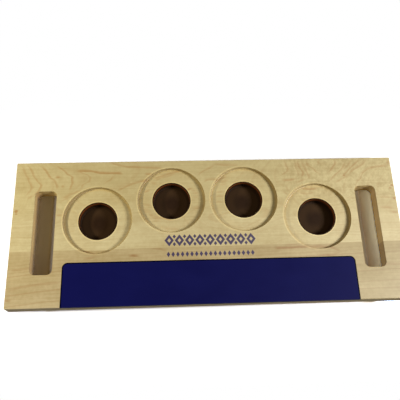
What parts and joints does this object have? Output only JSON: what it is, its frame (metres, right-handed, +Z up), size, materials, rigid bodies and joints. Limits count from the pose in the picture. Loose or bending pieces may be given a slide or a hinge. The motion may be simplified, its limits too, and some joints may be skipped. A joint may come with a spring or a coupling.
{
  "type": "tasting flight board",
  "caption": "Flat maple serving board with an arc of round glass seats and lined wells, a hand slot through each end and a navy panel along the front edge.",
  "frame": {"origin": "middle of the underside, where the board rests on a table", "axes": "+X along the board's length to the right, +Y to the rear edge, away from the navy panel, +Z up out of the top face"},
  "size_m": [0.457, 0.172, 0.019],
  "materials": {
    "maple_rear": "satin clear lacquer over pale maple",
    "maple_front": "satin clear lacquer over slightly darker maple",
    "navy_panel": "matte navy",
    "dark_liner": "matte dark brown"
  },
  "bodies": {
    "root": {"rear_stave": "maple_rear", "front_stave": "maple_front", "front_panel": "navy_panel", "well_liner_1": "dark_liner", "well_liner_2": "dark_liner", "well_liner_3": "dark_liner", "well_liner_4": "dark_liner"}
  },
  "joints": []
}
